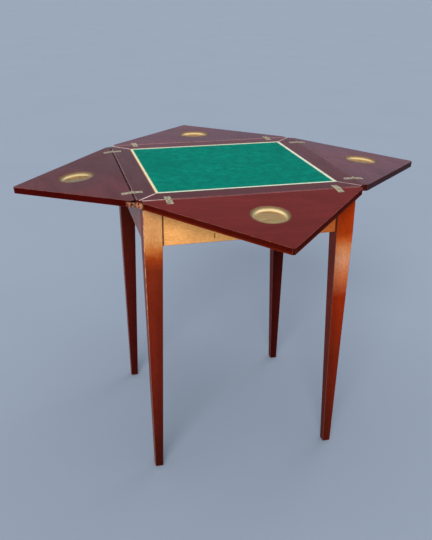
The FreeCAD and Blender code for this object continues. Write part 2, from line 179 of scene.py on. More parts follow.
class Graph:
    """A material whose nodes are added one call at a time."""

    def __init__(self, name):
        self.material = bpy.data.materials.new(name)
        self.material.use_nodes = True
        self.tree = self.material.node_tree
        self.shader = self.tree.nodes["Principled BSDF"]
        self.place = self.add("ShaderNodeTexCoord").outputs
        # Where a tone leaves the polish off, and the wood's own roughness
        self.matt = None
        self.rough = None

    def add(self, kind, inputs=None, **settings):
        node = self.tree.nodes.new(kind)
        for name, value in settings.items():
            setattr(node, name, value)
        for name, value in (inputs or {}).items():
            self.join(value, node.inputs[name])
        return node

    def join(self, value, socket):
        if isinstance(value, bpy.types.NodeSocket):
            self.tree.links.new(value, socket)
        else:
            socket.default_value = value

    def set(self, **values):
        """Values or sockets for the shader's own sockets, with _ for each space in their names."""
        for name, value in values.items():
            self.join(value, self.shader.inputs[name.replace("_", " ")])

    def math(self, operation, first, second=0.0):
        return self.add("ShaderNodeMath", {0: first, 1: second}, operation=operation).outputs[0]

    def plus(self, *values):
        return reduce(partial(self.math, "ADD"), values)

    def times(self, *values):
        return reduce(partial(self.math, "MULTIPLY"), values)

    def largest(self, *values):
        return reduce(partial(self.math, "MAXIMUM"), values)

    def size(self, value):
        """The value without its sign."""
        return self.math("ABSOLUTE", value)

    def mix(self, share, first, second, blend="MIX"):
        node = self.add("ShaderNodeMix", data_type="RGBA", blend_type=blend)
        for value, socket in ((share, 0), (first, 6), (second, 7)):
            self.join(value, node.inputs[socket])
        return node.outputs[2]

    def spread(self, value, start, end, low=0.0, high=1.0):
        """The value's way from start to end, as a smooth step from low to high."""
        names = {"Value": value, "From Min": start, "From Max": end, "To Min": low, "To Max": high}
        return self.add("ShaderNodeMapRange", names, interpolation_type="SMOOTHSTEP").outputs[0]

    def near(self, value, middle, start, end, high=1.0):
        """How near the value is to middle: 0 from start away, and high from end inwards."""
        return self.spread(self.size(self.plus(value, -middle)), start, end, 0.0, high)

    def ramp(self, value, stops):
        node = self.add("ShaderNodeValToRGB", {0: value})
        elements = node.color_ramp.elements
        while len(elements) < len(stops):
            elements.new(1.0)
        for element, (position, colour) in zip(elements, stops):
            element.position = position
            element.color = colour
        return node.outputs[0]

    def vector_math(self, operation, first, second):
        return self.add("ShaderNodeVectorMath", {0: first, 1: second}, operation=operation).outputs

    def scaled(self, vector, factors):
        return self.vector_math("MULTIPLY", vector, factors)["Vector"]

    def shifted(self, vector, offset):
        return self.vector_math("ADD", vector, offset)["Vector"]

    def noise(self, vector, scale, detail=3.0, roughness=0.5, distortion=0.0):
        names = {"Vector": vector, "Scale": scale, "Detail": detail, "Roughness": roughness}
        names["Distortion"] = distortion
        return self.add("ShaderNodeTexNoise", names).outputs[0]

    def axes(self, vector):
        return self.add("ShaderNodeSeparateXYZ", {0: vector}).outputs

    def bump(self, height, strength, distance):
        names = {"Height": height, "Strength": strength, "Distance": distance}
        self.set(Normal=self.add("ShaderNodeBump", names).outputs[0])


# How a wood's figure, bands and streaks stretch along and across its grain, and how much each counts
STRAIGHT = ((5, 30, 0.5), (9, 150, 0.3), (26, 700, 0.2))
CALM = ((4, 16, 0.65), (8, 80, 0.29), (26, 500, 0.06))
SPECKLED = ((14, 34, 0.3), (130, 240, 0.5), (60, 640, 0.2))
# How its pores stretch along and across the grain
PORES = (110, 1500)

# For each kind of wood: its roughness, how much its figure stands out, and the figure
LEG_GRAIN = (0.22, 0.38, SPECKLED)
APRON_GRAIN = (0.2, 0.42, SPECKLED)
TOP_GRAIN = (0.2, 0.36, CALM)
PANEL_GRAIN = (0.4, 0.7, STRAIGHT)
SLIP_GRAIN = (0.45, 0.6, STRAIGHT)
SAWN_GRAIN = (0.5, 0.8, STRAIGHT)


def grain_stretch(grain, along, across):
    """Texture factors for grain that runs along the axis called grain."""
    return tuple(along if axis == grain else across for axis in "xyz")


def wood(name, grain, tone, kind, variation, yaw=0.0):
    """Polished or plain wood. Its tone is a colour, or a function that adds the nodes for one."""
    roughness, contrast, layers = kind
    g = Graph(name)
    place = g.place["Object"]
    turned = place
    if yaw:
        names = {"Vector": place, "Angle": yaw}
        turned = g.add("ShaderNodeVectorRotate", names, rotation_type="Z_AXIS").outputs[0]
    shifted = g.shifted(turned, (variation, variation, variation))
    share = 0.0
    for number, (along, across, weight) in enumerate(layers):
        vector = g.scaled(shifted, grain_stretch(grain, along, across))
        streaks = g.noise(vector, 1, 5 - number, 0.58, 0.9 - 0.4 * number)
        share = g.plus(share, g.times(streaks, weight))
    share = g.spread(share, 0.32, 0.68)
    pores = g.spread(g.noise(g.scaled(shifted, grain_stretch(grain, *PORES)), 1, 2), 0.60, 0.72)
    mottle = g.noise(shifted, 11, 4, 0.6)
    low, high = 1 - 0.42 * contrast, 1 + 0.36 * contrast
    dark = (low, low * 0.90, low * 0.86, 1)
    light = (high, high * 1.06, high * 1.08, 1)
    colour = tone(g, place) if callable(tone) else tone
    colour = g.mix(1.0, colour, g.mix(share, dark, light), "MULTIPLY")
    cloud = g.spread(mottle, 0.3, 0.7, 1 - 0.16 * contrast, 1 + 0.14 * contrast)
    colour = g.scaled(colour, g.add("ShaderNodeCombineXYZ", {0: cloud, 1: cloud, 2: cloud}).outputs[0])
    pore_share = g.times(pores, 0.35 * contrast)
    colour = g.mix(pore_share, colour, g.scaled(colour, (0.35, 0.3, 0.3)))
    wear = g.spread(g.noise(place, 34, 5, 0.65), 0.35, 0.75, 0.0, 0.10)
    g.rough = g.plus(wear, roughness, g.times(streaks, 0.05))
    g.set(Base_Color=colour, Roughness=g.rough)
    g.bump(g.plus(g.times(pores, -0.6), g.times(streaks, 0.5), g.times(mottle, 1.2)), 0.10, 0.0004)
    return g


def flatness(g):
    """How level a surface lies: 0 on an upright edge, 1 on a level face."""
    return g.size(g.axes(g.place["Normal"])[2])


def polished(g, coat, edge_coat=None):
    """French polish over the wood. With edge_coat, a top's faces mirror more than its rougher edges and
    its matt joints do."""
    g.set(Specular_IOR_Level=0.35 * coat, Coat_Roughness=0.09, Coat_IOR=1.5)
    if edge_coat is None:
        g.set(Coat_Weight=coat)
        return g.material
    flat = flatness(g)
    weight = g.spread(flat, *FACING, edge_coat, coat)
    if g.matt is not None:
        weight = g.times(weight, g.math("SUBTRACT", 1.0, g.matt))
    blunt = g.times(g.spread(flat, *reversed(FACING)), EDGE_ROUGHNESS)
    g.set(Coat_Weight=weight, Roughness=g.largest(g.rough, blunt))
    return g.material


def glance(g, edge, face):
    """How strongly light glances off the edges and off the faces of a top, as two refraction indices."""
    g.set(IOR=g.spread(flatness(g), *FACING, edge, face))


def plain(g):
    """Wood that was only oiled or left bare."""
    g.set(Specular_IOR_Level=0.25)
    return g.material


def worn_highlit_arris(name, colour, base, tone_over=None):
    """An edge's tone: rubbed polish, paler in patches, and on the lit edges also a painted highlight.
    tone_over adds the nodes for what lies over it.
    """
    g = Graph(name)
    place = g.place["Object"]
    share = g.spread(g.noise(place, 46, 4, 0.6), 0.36, 0.62)
    fine = g.noise(place, 420, 3, 0.6)
    tone = g.mix(share, base, colour)
    tone = g.mix(g.times(fine, 0.4), tone, g.scaled(tone, (0.62, 0.55, 0.5)))
    if tone_over:
        tone = tone_over(g, place, tone)
    g.set(Base_Color=tone, Roughness=g.spread(fine, 0.3, 0.7, 0.18, 0.34))
    g.set(Specular_IOR_Level=0.3, Coat_Weight=0.14, Coat_Roughness=0.14)
    g.bump(fine, 0.08, 0.0003)
    return g.material


# How near vertices are welded, in metres, how flat faces are joined, and how sharp edges are rounded
WELD_REACH = 0.00001
FLAT_ANGLE = math.radians(0.4)
ARRIS_ANGLE = math.radians(38)


def dress(obj, main, arris=None, width=0.0):
    """Gives a CAD node its material, and rounds its edges with the edge one."""
    obj.data.materials.clear()
    obj.data.materials.append(main)
    if not arris:
        return
    obj.data.materials.append(arris)
    weld = obj.modifiers.new("weld", "WELD")
    weld.merge_threshold = WELD_REACH
    flat = obj.modifiers.new("flat", "DECIMATE")
    flat.decimate_type = "DISSOLVE"
    flat.angle_limit = FLAT_ANGLE
    bevel = obj.modifiers.new("arris", "BEVEL")
    bevel.width = width
    bevel.segments = 2
    bevel.limit_method = "ANGLE"
    bevel.angle_limit = ARRIS_ANGLE
    bevel.harden_normals = True
    bevel.material = 1


def side_frame(side, sagged):
    """Where a side's hinge line is, with x along it and the flap towards minus y."""
    turn = Matrix.Rotation(QUARTER * SIDES.index(side), 4, "Z")
    place = turn @ Matrix.Translation((0, -PIN_OUT[side], PIN_HEIGHT))
    return place @ Matrix.Rotation(math.radians(SAG[side]) if sagged else 0.0, 4, "X")


def from_inner_face(g, place):
    """How far a point of a leg is from the leg's tapering inner face."""
    x, _y, z = g.axes(place)
    below = g.largest(g.math("SUBTRACT", TAPER_TOP, z), 0.0)
    inner = g.plus(g.times(below, TAPER_SLOPE), LEG_INNER)
    return g.math("SUBTRACT", g.size(x), inner)


def well_place(side):
    """Where a well's middle is, on its flap's face."""
    gap_half = PIN_OUT[side] - HALF_TOP
    return side_frame(side, True) @ Matrix.Translation((0, -gap_half - WELL_OUT, -FACE_DROP))


def leg_tone(corner):
    """A leg's tone up its height. Its front face carries painted light: on the front legs a gold painted
    highlight with painted shade below it, on the back legs painted shade. Lower down, the face in front
    darkens towards the inner edge as painted shade.
    """
    stops = []
    for way, colour in LEG_TONES[corner]:
        stops.append((way, tuple(LEG_SHADE * part for part in colour[:3]) + (1,)))

    def tone(g, place):
        z = g.axes(place)[2]
        feather = g.noise(g.scaled(place, (60, 60, 100)), 1, 4, 0.6)
        wobble = g.times(g.plus(feather, -0.5), 0.035)
        way = g.plus(g.math("DIVIDE", z, LEG_HEIGHT), wobble)
        plain_shade = g.ramp(way, SIDE_TONES)
        forward = g.spread(g.axes(g.place["Normal"])[1], -0.5, -0.85)
        shade = g.mix(forward, plain_shade, g.ramp(way, stops))
        # Painted shade: lower down, the front face darkens towards the inner edge
        inward = g.spread(from_inner_face(g, place), 0.026, 0.006, 0.0, 0.32)
        lower = g.times(g.spread(z, 0.62, 0.56), inward)
        return g.mix(lower, shade, g.scaled(shade, (0.30, 0.34, 0.5)))

    return tone


def apron_tone(side):
    """An apron's tone, with a dark line of painted shade in the joint beside each leg, and on the front one
    a painted highlight, gold on the left through amber to orange on the right, and an old knock.
    """

    def tone(g, place):
        x, y, z = g.axes(place)
        along = x if side in ("front", "back") else y
        shade = APRON_PLAIN
        if side == "front":
            # Painted highlight across the front apron
            way = g.math("DIVIDE", g.plus(x, APRON_HALF), 2 * APRON_HALF)
            shade = g.ramp(way, [(0.0, APRON_GOLD), (0.5, APRON_AMBER), (1.0, APRON_ORANGE)])
            beside = g.near(x, KNOCK_AT[0], 0.0022, 0.0008)
            level = g.near(z, KNOCK_AT[1], 0.0085, 0.0045)
            shade = g.mix(g.times(beside, level, 0.75), shade, DARK_LINE)
        # Painted shade in the joint where the apron meets each leg
        joint = g.spread(g.size(along), APRON_JOINT - 0.0020, APRON_JOINT)
        return g.mix(g.times(joint, 0.85), shade, DARK_LINE)

    return tone


def outward_reach(g, place, side):
    """How far out a point is on a side."""
    outward = ((0, -1, 0), (1, 0, 0), (0, 1, 0), (-1, 0, 0))[SIDES.index(side)]
    return g.vector_math("DOT_PRODUCT", place, outward)["Value"]


def flap_depth(g, place, side):
    """How far below a flap's face a point is."""
    frame_of_side = side_frame(side, True)
    upward = frame_of_side.to_3x3() @ Vector((0, 0, 1))
    face = upward.dot(frame_of_side @ Vector((0, 0, -FACE_DROP)))
    return g.math("SUBTRACT", face, g.vector_math("DOT_PRODUCT", place, tuple(upward))["Value"])


def well_dark_ring(g, place, side):
    """How much the wood is darkened in a ring round a well, uneven along its way."""
    middle = well_place(side).translation
    away = g.vector_math("DISTANCE", place, tuple(middle))["Value"]
    uneven = g.spread(g.noise(place, 55, 3, 0.6), 0.35, 0.6, 0.3, 0.9)
    return g.times(g.spread(away, *DARK_RING_REACH), uneven)


def slant(g):
    """How far a surface's normal turns from both level axes: 0.5 where it points halfway between them."""
    normal = g.axes(g.place["Normal"])
    return g.size(g.times(normal[0], normal[1]))


def bare_patches(g, place):
    """Where the polish is gone from a corner tip: in patches, below a rim that keeps it."""
    patches = g.spread(g.noise(place, 150, 3, 0.6), 0.40, 0.60)
    return g.times(patches, g.spread(g.axes(place)[2], *TIP_LEVELS))


def round_the_edge(g, face, edge):
    """The tone of a board's face, then its edge's, then the plain one of its underside."""
    upward = g.axes(g.place["Normal"])[2]
    shade = g.mix(g.spread(upward, *FACING), edge, face)
    return g.mix(g.spread(upward, *FACING_DOWN), shade, UNDERSIDE)


def flap_tone(side):
    """A flap's polished face with a painted line along its hinges, a highlight in front and shade of the gap
    elsewhere, a dark ring round its well, and its edge.
    """
    face, joint_share, joint_width, joint_colour = FLAP_LOOKS[side]

    def tone(g, place):
        hinge_edge = 2 * PIN_OUT[side] - HALF_TOP
        out = outward_reach(g, place, side)
        # The hinge line: a painted highlight in front, painted shade of the gap on the other sides
        joint = g.spread(out, hinge_edge + joint_width, hinge_edge + 0.6 * joint_width, 0.0, joint_share)
        cloud = g.spread(g.noise(place, 3.4, 3, 0.5), 0.3, 0.7, 0.0, 0.28)
        shade = g.mix(joint, g.mix(cloud, face, RUBBED_RED), joint_colour)
        # The wood darkens in a ring round the well
        shade = g.mix(well_dark_ring(g, place, side), shade, WELL_RING_DARK)
        g.matt = joint
        depth = flap_depth(g, place, side)
        edge = g.mix(g.spread(depth, 0.55 * FLAP_DEPTH, 0.95 * FLAP_DEPTH), *EDGE_TONES[side])
        # The ends: the left flap's near black as painted shade in the corner's gap
        edge = g.mix(g.spread(slant(g), 0.35, 0.2), edge, LEFT_END if side == "left" else END_GRAIN)
        if side == "left":
            at_tip = g.spread(g.axes(place)[1], *LEFT_TIP, 0.0, 0.9)
            edge = g.mix(g.times(at_tip, bare_patches(g, place)), edge, TIP_WOOD)
        return round_the_edge(g, shade, edge)

    return tone


def border_tone(side):
    """A border's polished face with painted highlights along its mitres and along its rim at the hinge,
    paler and whiter towards the front left corner, painted shade in the left joint's gap, and its raw corner
    tips.
    """
    face, rim_share = BORDER_LOOKS[side]

    def tone(g, place):
        x, y, _z = g.axes(place)
        patch = g.spread(g.noise(place, 60, 3, 0.6), 0.3, 0.62, 0.45, 1.0)
        # Painted highlight along the mitres, stronger to the left
        across = g.math("SUBTRACT", g.size(x), g.size(y))
        mitre = g.spread(g.size(across), *MITRE_REACH)
        leftward = g.spread(x, 0.05, -0.24, 0.5, 0.85)
        # Painted highlight along the rim at the hinge line
        out = outward_reach(g, place, side)
        inset = LEFT_RIM_INSET if side == "left" else 0.0
        rim = g.spread(out, RIM_REACH[0] - inset, RIM_REACH[1] - inset, 0.0, rim_share)
        colour = PINK_LINE
        # The front rim's painted highlight grows whiter towards the front left corner
        if side == "front":
            corner = g.spread(x, -0.16, -0.235)
            rim = g.times(rim, g.plus(g.times(corner, 2.2), 1.0))
            colour = g.mix(corner, PINK_LINE, PALE_MITRE)
        shade = g.mix(g.times(rim, patch), face, colour)
        # Painted shade in the left joint's gap
        if side == "left":
            g.matt = g.spread(out, *LEFT_JOINT)
            shade = g.mix(g.matt, shade, DARK_LINE)
        shade = g.mix(g.times(mitre, leftward, patch), shade, PALE_MITRE)
        tip = g.times(g.spread(slant(g), 0.3, 0.45), bare_patches(g, place))
        return round_the_edge(g, shade, g.mix(tip, EDGE_UPPER, TIP_WOOD))

    return tone


def joint_arris(side):
    """The edges of a side's flap and border, with painted shade along the hinge line's gap but in front."""

    def tone(g, place, arris_tone):
        if side == "front":
            return arris_tone
        out = outward_reach(g, place, side)
        # Painted shade where the edges meet at the hinge line
        gap_shade = 1.0 if side == "left" else 0.45
        beside = g.near(out, PIN_OUT[side], 0.0036, 0.0024, gap_shade)
        if side == "left":
            beside = g.times(beside, g.spread(out, PIN_OUT[side] - 0.0009, PIN_OUT[side] - 0.0004))
        return g.mix(beside, arris_tone, DARK_LINE)

    return tone


def leg_stops(*pairs):
    """A ramp's stops from heights in metres and their colours."""
    return [(height / LEG_HEIGHT, linear(*colour)) for height, colour in pairs]


# Each leg's front tone from the foot up: on the front legs a painted highlight, gold near the top of the
# left one and a pale band on the right one, with painted shade below it; the back legs are darker all the
# way up with painted shade
LEG_TONES = {
    "front_left": leg_stops(
        (0.0, (60, 17, 13)), (0.2, (93, 27, 15)), (0.34, (104, 31, 17)), (0.5, (114, 36, 17)),
        (0.58, (124, 42, 20)), (0.612, (152, 58, 18)), (0.634, (190, 107, 50)), (0.66, (212, 147, 89)),
        (LEG_HEIGHT, (218, 158, 100)),
    ),
    "front_right": leg_stops(
        (0.0, (78, 22, 12)), (0.3, (112, 32, 12)), (0.46, (142, 40, 10)), (0.52, (190, 104, 62)),
        (0.57, (212, 142, 104)), (0.600, (208, 128, 76)), (0.622, (188, 82, 30)), (0.64, (166, 58, 12)),
        (LEG_HEIGHT, (178, 50, 5)),
    ),
    "back_right": leg_stops((0.0, (60, 13, 9)), (0.4, (68, 15, 10)), (LEG_HEIGHT, (92, 26, 13))),
    "back_left": leg_stops((0.0, (66, 17, 12)), (0.4, (76, 20, 13)), (LEG_HEIGHT, (100, 32, 17))),
}
# The legs' other faces: a plainer tone, darker towards the foot
SIDE_TONES = leg_stops((0.0, (86, 24, 15)), (0.4, (118, 38, 22)), (LEG_HEIGHT, (130, 46, 25)))


def leg_arris(g, place, arris_tone):
    """A leg's pale edge, partly rubbed polish and partly a painted highlight that dims towards the foot,
    sooner so on the right, and brown at the inner face.
    """
    x, _y, z = g.axes(place)
    rightward = g.spread(x, -0.1, 0.1)
    start = g.plus(g.times(rightward, -0.04), 0.60)
    fade = g.plus(g.times(rightward, -0.22), 0.32)
    share = g.spread(g.math("DIVIDE", g.math("SUBTRACT", start, z), fade), 0.0, 1.0, 0.0, 0.92)
    shade = g.mix(g.largest(share, g.times(rightward, 0.45)), arris_tone, LOW_ARRIS)
    return g.mix(g.spread(from_inner_face(g, place), 0.012, 0.004), shade, INNER_ARRIS)


def dress_frame():
    """Materials for the legs, aprons, braces, bearing slips and rail."""
    # The front legs' and aprons' pale gold edges and the right leg's paler one carry a painted highlight;
    # the back legs' darker edges carry painted shade
    gold = worn_highlit_arris("leg_arris", GOLD_ARRIS, linear(150, 62, 30), leg_arris)
    right = worn_highlit_arris("right_leg_arris", linear(150, 76, 44), linear(112, 40, 18), leg_arris)
    rear = worn_highlit_arris("rear_leg_arris", LOW_ARRIS, linear(84, 26, 18))
    dull = worn_highlit_arris("inner_arris", linear(176, 122, 78), INNER_WOOD)
    for number, corner in enumerate(CORNERS):
        leg = wood(f"leg_{corner}", "z", leg_tone(corner), LEG_GRAIN, 0.37 * number)
        edge = {"front_left": gold, "front_right": right}.get(corner, rear)
        dress(NODES[f"leg_{corner}"], polished(leg, coat=0.04), edge, width=0.0009)
        yaw = math.radians(45 if corner in ("front_left", "back_right") else -45)
        brace = wood(f"brace_{corner}", "x", INNER_WOOD, SAWN_GRAIN, 1.3 + number, yaw)
        dress(NODES[f"corner_brace_{corner}"], plain(brace), dull, width=0.0008)
    for number, side in enumerate(SIDES):
        grain = "xy"[number % 2]
        apron = wood(f"apron_{side}", grain, apron_tone(side), APRON_GRAIN, 2.1 + number)
        dress(NODES[f"apron_{side}"], polished(apron, coat=0.1), gold, width=0.0007)
        slip = wood(f"slip_{side}", grain, INNER_WOOD, SLIP_GRAIN, 5.2 + number)
        dress(NODES[f"bearing_slip_{side}"], plain(slip), dull, width=0.0005)
    rail = wood("rail_wood", "y", INNER_WOOD, SAWN_GRAIN, 7.7)
    dress(NODES["pivot_rail"], plain(rail), dull, width=0.0009)


def dress_top():
    """Materials for the panel, and for each side's border and flap."""
    pink = worn_highlit_arris("panel_arris", PINK_ARRIS, RED_ARRIS)
    panel = wood("panel_wood", "x", UNDERSIDE, PANEL_GRAIN, 3.3)
    dress(NODES["top_panel"], plain(panel), pink, width=0.0005)
    for number, side in enumerate(SIDES):
        grain = "xy"[number % 2]
        arris = worn_highlit_arris(f"arris_{side}", PINK_ARRIS, RED_ARRIS, joint_arris(side))
        border = wood(f"border_{side}", grain, border_tone(side), TOP_GRAIN, 4.4 + number)
        face_index = POLISHED_INDEX if side == "front" else FAR_INDEX
        glance(border, OILED_INDEX, face_index)
        dress(NODES[f"border_{side}"], polished(border, BORDER_COAT, EDGE_COAT), arris, width=0.0006)
        flap = wood(f"flap_{side}", grain, flap_tone(side), TOP_GRAIN, 8.8 + number)
        glance(flap, POLISHED_INDEX if side == "right" else OILED_INDEX, face_index)
        dress(NODES[f"flap_{side}"], polished(flap, FLAP_COATS[side], EDGE_COAT), arris, width=0.0007)


dress_frame()
dress_top()

# Each metal's bright and dull colour, roughness, scale and strength of its blotches, and how metallic it is
METALS = {
    "hinge_brass": (linear(184, 176, 150), linear(96, 80, 62), 0.36, 240, 0.9, 0.45),
    "hinge_arris": (linear(196, 182, 154), linear(130, 110, 88), 0.32, 190, 0.5, 0.45),
    "pivot_iron": (linear(104, 98, 94), linear(70, 44, 34), 0.38, 60, 0.8, 1.0),
    "iron_arris": (linear(150, 144, 138), linear(110, 84, 70), 0.3, 90, 0.5, 1.0),
    "screw_steel": (linear(92, 80, 62), linear(58, 44, 32), 0.34, 300, 0.7, 0.7),
}


def metal(name):
    """Aged metal: the bright colour with duller blotches, and fine wear in its shine."""
    bright, dull, roughness, scale, blotches, metallic = METALS[name]
    g = Graph(name)
    place = g.place["Object"]
    patch = g.spread(g.noise(place, scale, 5, 0.62, 0.4), 0.42, 0.66)
    fine = g.noise(place, 1400, 3, 0.6)
    g.set(Base_Color=g.mix(g.times(patch, blotches), bright, dull), Metallic=metallic)
    g.set(Roughness=g.plus(g.times(patch, 0.22), g.times(fine, 0.10), roughness))
    g.bump(g.plus(fine, patch), 0.12, 0.0003)
    return g.material


def dress_metal():
    """Materials for the hinges and for the pivot's iron."""
    brass = metal("hinge_brass")
    iron = metal("pivot_iron")
    brass_arris = metal("hinge_arris")
    iron_arris = metal("iron_arris")
    for side in SIDES:
        for part in ("top", "flap"):
            dress(NODES[f"hinge_leaves_{part}_{side}"], brass, brass_arris, width=0.00018)
    for name in ("pivot_plate", "pivot_stud", "pivot_nut", "pivot_washer", "stop_peg"):
        dress(NODES[name], iron, iron_arris, width=0.0004)


# Where the gilt's fine lines lie across the band, from 0 to 1, and how they fade
GILT_LINES = (0.16, 0.30, 0.70, 0.84)
GILT_LINE_FADE = (0.045, 0.02)


def gilt_leaf():
    """Gold leaf with two pairs of fine lines, rubbed in places, warmer on the left and brown outside."""
    g = Graph("gilt_leaf")
    place = g.place["Object"]
    across = g.axes(place)
    out = g.largest(g.size(across[0]), g.size(across[1]))
    way = g.math("DIVIDE", g.plus(out, -BAND_INNER), BAND_OUTER - BAND_INNER)
    lines = g.largest(*(g.near(way, middle, *GILT_LINE_FADE) for middle in GILT_LINES))
    rubbed = g.spread(g.noise(place, 70, 5, 0.65), 0.5, 0.72)
    fine = g.noise(place, 900, 4, 0.6)
    leftward = g.spread(across[0], -BAND_SIDE[0], -BAND_SIDE[1])
    backward = g.spread(across[1], *BAND_SIDE)
    cool = g.mix(fine, linear(206, 216, 186), linear(228, 238, 222))
    leaf = g.mix(leftward, cool, g.mix(fine, linear(222, 214, 160), linear(236, 230, 186)))
    dulled = g.largest(g.times(rubbed, 0.45), g.times(backward, 0.35))
    leaf = g.mix(dulled, leaf, linear(170, 138, 92))
    leaf = g.mix(g.times(lines, 0.4), leaf, linear(150, 112, 60))
    start = g.plus(g.times(leftward, -0.16), 0.86)
    edge = g.spread(g.math("SUBTRACT", way, start), 0.0, 0.12)
    edge = g.times(edge, g.plus(g.times(leftward, 0.45), 0.5))
    leaf = g.mix(edge, leaf, linear(160, 84, 42))
    g.set(Base_Color=leaf, Metallic=0.15, Roughness=g.spread(fine, 0.3, 0.7, 0.3, 0.45))
    g.bump(g.plus(g.times(lines, -1.0), g.times(fine, 0.3)), 0.35, 0.0004)
    return g.material


dress_metal()
dress(NODES["gilt_band"], gilt_leaf())


def new_object(name, mesh, material, body, matrix=None):
    """A piece of the scene's own that rides on a body."""
    obj = bpy.data.objects.new(name, mesh)
    bpy.context.scene.collection.objects.link(obj)
    mesh.materials.clear()
    mesh.materials.append(material)
    if matrix is not None:
        obj.matrix_world = matrix
    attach(obj, body)
    return obj


def finished_mesh(name, shape, sharp_degrees=35):
    """The mesh of a bmesh, with outward normals, smooth but for its sharp edges."""
    bmesh.ops.recalc_face_normals(shape, faces=shape.faces)
    mesh = bpy.data.meshes.new(name)
    shape.to_mesh(mesh)
    shape.free()
    mesh.shade_smooth()
    mesh.set_sharp_from_angle(angle=math.radians(sharp_degrees))
    return mesh


def lathe(name, profile, sides):
    """A closed turned form: its profile of radius and height runs from the axis back to the axis."""
    shape = bmesh.new()
    rings = []
    for radius, height in profile:
        if radius == 0:
            rings.append([shape.verts.new((0, 0, height))])
            continue
        turns = [2 * math.pi * k / sides for k in range(sides)]
        rings.append([shape.verts.new((radius * math.cos(t), radius * math.sin(t), height)) for t in turns])
    for inner, outer in zip(rings, rings[1:]):
        for k in range(sides):
            after = (k + 1) % sides
            corners = [inner[k % len(inner)], inner[after % len(inner)]]
            corners += [outer[after % len(outer)], outer[k % len(outer)]]
            shape.faces.new(list(dict.fromkeys(corners)))
    return finished_mesh(name, shape)


def felt():
    """Teal baize: a soft nap with fine fibres, faint brushing, darker patches and pale specks."""
    g = Graph("baize_felt")
    place = g.place["Object"]
    nap = g.noise(place, 2600, 4, 0.7)
    fibres = g.noise(g.scaled(place, (700, 1500, 700)), 1, 3, 0.6, 1.5)
    brushed = g.noise(g.scaled(place, (7, 16, 7)), 1, 4, 0.6, 0.8)
    cloud = g.noise(place, 5, 4, 0.6)
    patchy = g.noise(place, 46, 4, 0.6)
    tone = g.mix(g.spread(cloud, 0.3, 0.7), linear(1, 104, 89), linear(2, 121, 104))
    tone = g.mix(g.spread(brushed, 0.35, 0.7, 0.0, 0.4), tone, linear(5, 131, 114))
    tone = g.mix(g.spread(patchy, 0.36, 0.62, 0.0, 0.7), tone, linear(1, 95, 84))
    tone = g.mix(g.spread(nap, 0.35, 0.7, 0.0, 0.3), tone, linear(2, 84, 74))
    tone = g.mix(g.spread(fibres, 0.55, 0.75, 0.0, 0.2), tone, linear(30, 150, 130))
    specks = g.spread(g.noise(place, 330, 2, 0.5), 0.70, 0.76, 0.0, 0.7)
    tone = g.mix(specks, tone, linear(120, 200, 178))
    g.set(Base_Color=tone, Roughness=g.spread(nap, 0.3, 0.7, 0.82, 0.98), Specular_IOR_Level=0.03)
    g.set(Sheen_Weight=0.03, Sheen_Roughness=0.5, Sheen_Tint=linear(60, 190, 165))
    g.bump(g.plus(nap, g.times(fibres, 0.8)), 0.5, 0.0004)
    return g.material


# The baize's grid, the width and depth of its pressed edge in metres, and its unevenness
CLOTH_CELLS = 110
CLOTH_EDGE_ROLL = 0.0028
CLOTH_EDGE_DIP = 0.0005
CLOTH_RIPPLE = 0.00012
CLOTH_RIPPLE_SCALE = 16


def cloth_height(x, y):
    """How high the baize's top lies: a hair of unevenness, and an edge pressed down in the rebate."""
    ripple = CLOTH_RIPPLE * noise.noise(Vector((x * CLOTH_RIPPLE_SCALE, y * CLOTH_RIPPLE_SCALE, 0.3)))
    inside = CLOTH_HALF - max(abs(x), abs(y))
    pressed = max(0.0, 1 - inside / CLOTH_EDGE_ROLL) ** 2 * CLOTH_EDGE_DIP
    return CLOTH_TOP - CLOTH_RIPPLE + ripple - pressed


def cloth_stations():
    """Where the baize's grid lines are: even, with closer ones at the pressed edge."""
    flat = CLOTH_HALF - CLOTH_EDGE_ROLL
    inner = [flat * (2 * k / CLOTH_CELLS - 1) for k in range(CLOTH_CELLS + 1)]
    rim = [flat + CLOTH_EDGE_ROLL * share for share in (0.35, 0.65, 0.85, 1.0)]
    return [-r for r in reversed(rim)] + inner + rim


def make_cloth():
    """The baize as a thin closed sheet on the panel."""
    shape = bmesh.new()
    lines = cloth_stations()
    count = len(lines)
    layers = []
    for drop in (0.0, CLOTH_THICKNESS):
        layer = []
        for x in lines:
            for y in lines:
                height = CLOTH_TOP - drop if drop else cloth_height(x, y)
                layer.append(shape.verts.new((x, y, height)))
        layers.append(layer)
    for layer in layers:
        for i in range(count - 1):
            for j in range(count - 1):
                corner = i * count + j
                shape.faces.new([layer[k] for k in (corner, corner + count, corner + count + 1, corner + 1)])
    top, bottom = layers
    last = count - 1
    border = [i * count for i in range(count)] + [last * count + j for j in range(1, count)]
    border += [i * count + last for i in range(last - 1, -1, -1)] + list(range(last - 1, 0, -1))
    for first, second in zip(border, border[1:] + border[:1]):
        shape.faces.new([top[first], top[second], bottom[second], bottom[first]])
    cloth = new_object("baize", finished_mesh("baize", shape, 60), felt(), "top")
    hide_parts("playing_cloth")


make_cloth()

# A spun brass counter well: radius and height of its profile in millimetres, face of the flap at 0
WELL_PROFILE = (
    (0, -9.0), (20, -9.0), (43.2, -9.0), (44.0, -8.4), (44.0, -1.0), (45.7, -1.0), (46.0, -0.7),
    (46.0, -0.2), (45.6, 0.1), (44.9, 0.22), (44.1, 0.2), (43.4, 0.02), (42.8, -0.4), (42.3, -1.0),
    (41.6, -2.2), (40.8, -3.4), (39.8, -4.6), (38.6, -5.7), (37.2, -6.7), (35.6, -7.4), (33.8, -7.85),
    (31.8, -8.0), (24, -8.05), (14, -8.08), (5, -8.1), (0, -8.1),
)
WELL_SIDES = 96
